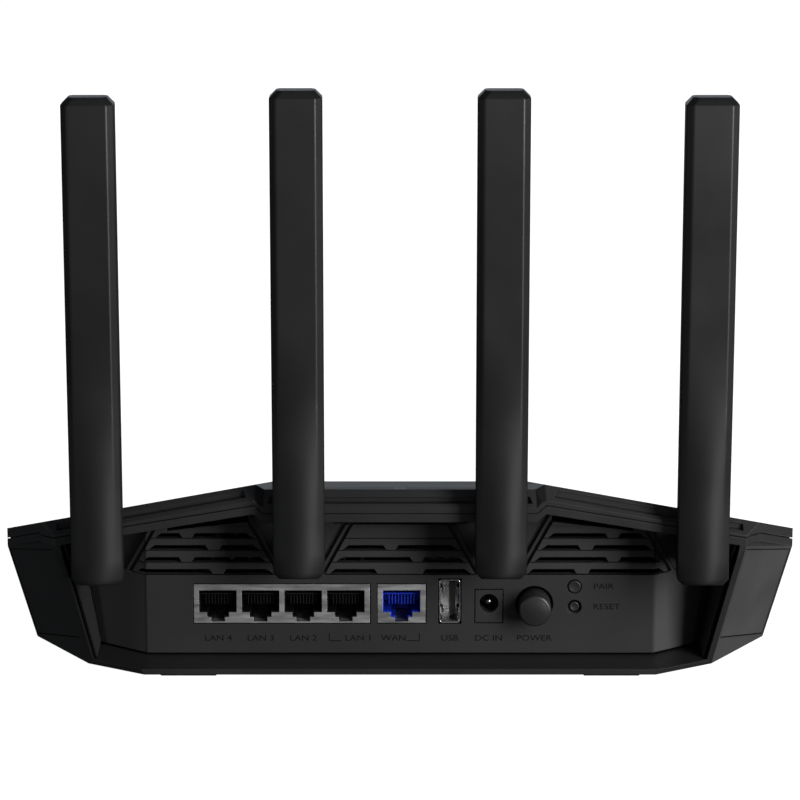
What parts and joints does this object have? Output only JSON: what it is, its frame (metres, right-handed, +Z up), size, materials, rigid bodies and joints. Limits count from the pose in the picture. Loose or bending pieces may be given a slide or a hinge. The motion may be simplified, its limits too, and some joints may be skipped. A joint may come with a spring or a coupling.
{
  "type": "wireless router",
  "caption": "Wedge-shaped wireless router: sunken rear panel with louvres, network, USB and power sockets, push buttons, and tall flat antennas that swivel and fold.",
  "frame": {"origin": "centre of the whole object's box, at the surface it stands on", "axes": "+X across the width, to the right when looking at the sockets; +Y from the sockets to the low front edge; +Z up"},
  "size_m": [0.261, 0.177, 0.1934],
  "materials": {
    "case": "fine matte texture, charcoal black",
    "panel": "fine matte texture, charcoal black",
    "inlay": "satin, black",
    "antenna": "satin matte, black",
    "button": "matte, charcoal black",
    "socket_metal": "plated sheet, satin",
    "steel": "plated, satin",
    "insert_black": "moulded, black",
    "insert_blue": "moulded, blue",
    "tongue": "moulded, pale",
    "clear": "clear moulded plastic",
    "board": "solder-mask green",
    "heat_sink": "extruded, satin",
    "foot": "moulded, black",
    "lead": "black sheath"
  },
  "bodies": {
    "case": {"housing": "case", "left_side_panel": "inlay", "right_side_panel": "inlay", "top_cover": "case", "light_guide": "clear", "rear_panel": "panel", "lan_shell": "socket_metal", "lan_insert_1": "insert_black", "lan_insert_2": "insert_black", "lan_insert_3": "insert_black", "lan_insert_4": "insert_black", "wan_shell": "socket_metal", "wan_insert": "insert_blue", "usb_shell": "socket_metal", "usb_tongue": "tongue", "dc_inlet": "insert_black", "dc_pin": "steel", "power_switch": "insert_black", "pair_switch": "insert_black", "reset_switch": "insert_black", "main_board": "board", "heat_sink": "heat_sink", "radio_shield_1": "steel", "radio_shield_2": "steel", "foot_rear_left": "foot", "foot_rear_right": "foot", "foot_front_left": "foot", "foot_front_right": "foot", "screw_rear_left": "steel", "screw_rear_right": "steel", "screw_front_left": "steel", "screw_front_right": "steel", "antenna_1_lead": "lead", "antenna_2_lead": "lead", "antenna_3_lead": "lead", "antenna_4_lead": "lead"},
    "knuckle_1": {"antenna_1_knuckle": "antenna"},
    "antenna_1": {"antenna_1_shell": "antenna", "antenna_1_cover": "antenna", "antenna_1_board": "board", "antenna_1_pin": "steel"},
    "knuckle_2": {"antenna_2_knuckle": "antenna"},
    "antenna_2": {"antenna_2_shell": "antenna", "antenna_2_cover": "antenna", "antenna_2_board": "board", "antenna_2_pin": "steel"},
    "knuckle_3": {"antenna_3_knuckle": "antenna"},
    "antenna_3": {"antenna_3_shell": "antenna", "antenna_3_cover": "antenna", "antenna_3_board": "board", "antenna_3_pin": "steel"},
    "knuckle_4": {"antenna_4_knuckle": "antenna"},
    "antenna_4": {"antenna_4_shell": "antenna", "antenna_4_cover": "antenna", "antenna_4_board": "board", "antenna_4_pin": "steel"},
    "power": {"power_button": "button"},
    "pair": {"pair_button": "button"},
    "reset": {"reset_button": "button"}
  },
  "joints": [
    {"name": "antenna_1_swivel", "type": "hinge", "parent": "case", "child": "knuckle_1", "pos_m": [-0.0969, -0.0827, 0.0401], "axis": [0, 1, 0], "range_deg": [-90, 15]},
    {"name": "antenna_1_tilt", "type": "hinge", "parent": "knuckle_1", "child": "antenna_1", "pos_m": [-0.0969, -0.0827, 0.0401], "axis": [1, 0, 0], "range_deg": [0, 90]},
    {"name": "antenna_2_swivel", "type": "hinge", "parent": "case", "child": "knuckle_2", "pos_m": [-0.03235, -0.0827, 0.0422], "axis": [0, 1, 0], "range_deg": [-15, 15]},
    {"name": "antenna_2_tilt", "type": "hinge", "parent": "knuckle_2", "child": "antenna_2", "pos_m": [-0.03235, -0.0827, 0.0422], "axis": [1, 0, 0], "range_deg": [0, 90]},
    {"name": "antenna_3_swivel", "type": "hinge", "parent": "case", "child": "knuckle_3", "pos_m": [0.03235, -0.0827, 0.0422], "axis": [0, 1, 0], "range_deg": [-15, 15]},
    {"name": "antenna_3_tilt", "type": "hinge", "parent": "knuckle_3", "child": "antenna_3", "pos_m": [0.03235, -0.0827, 0.0422], "axis": [1, 0, 0], "range_deg": [0, 90]},
    {"name": "antenna_4_swivel", "type": "hinge", "parent": "case", "child": "knuckle_4", "pos_m": [0.0969, -0.0827, 0.0401], "axis": [0, 1, 0], "range_deg": [-15, 90]},
    {"name": "antenna_4_tilt", "type": "hinge", "parent": "knuckle_4", "child": "antenna_4", "pos_m": [0.0969, -0.0827, 0.0401], "axis": [1, 0, 0], "range_deg": [0, 90]},
    {"name": "power_press", "type": "slide", "parent": "case", "child": "power", "axis": [0, 1, 0], "range_m": [0, 0.0025], "stiffness_N_per_m": 500},
    {"name": "pair_press", "type": "slide", "parent": "case", "child": "pair", "axis": [0, 1, 0], "range_m": [0, 0.0006], "stiffness_N_per_m": 800},
    {"name": "reset_press", "type": "slide", "parent": "case", "child": "reset", "axis": [0, 1, 0], "range_m": [0, 0.0006], "stiffness_N_per_m": 800}
  ]
}
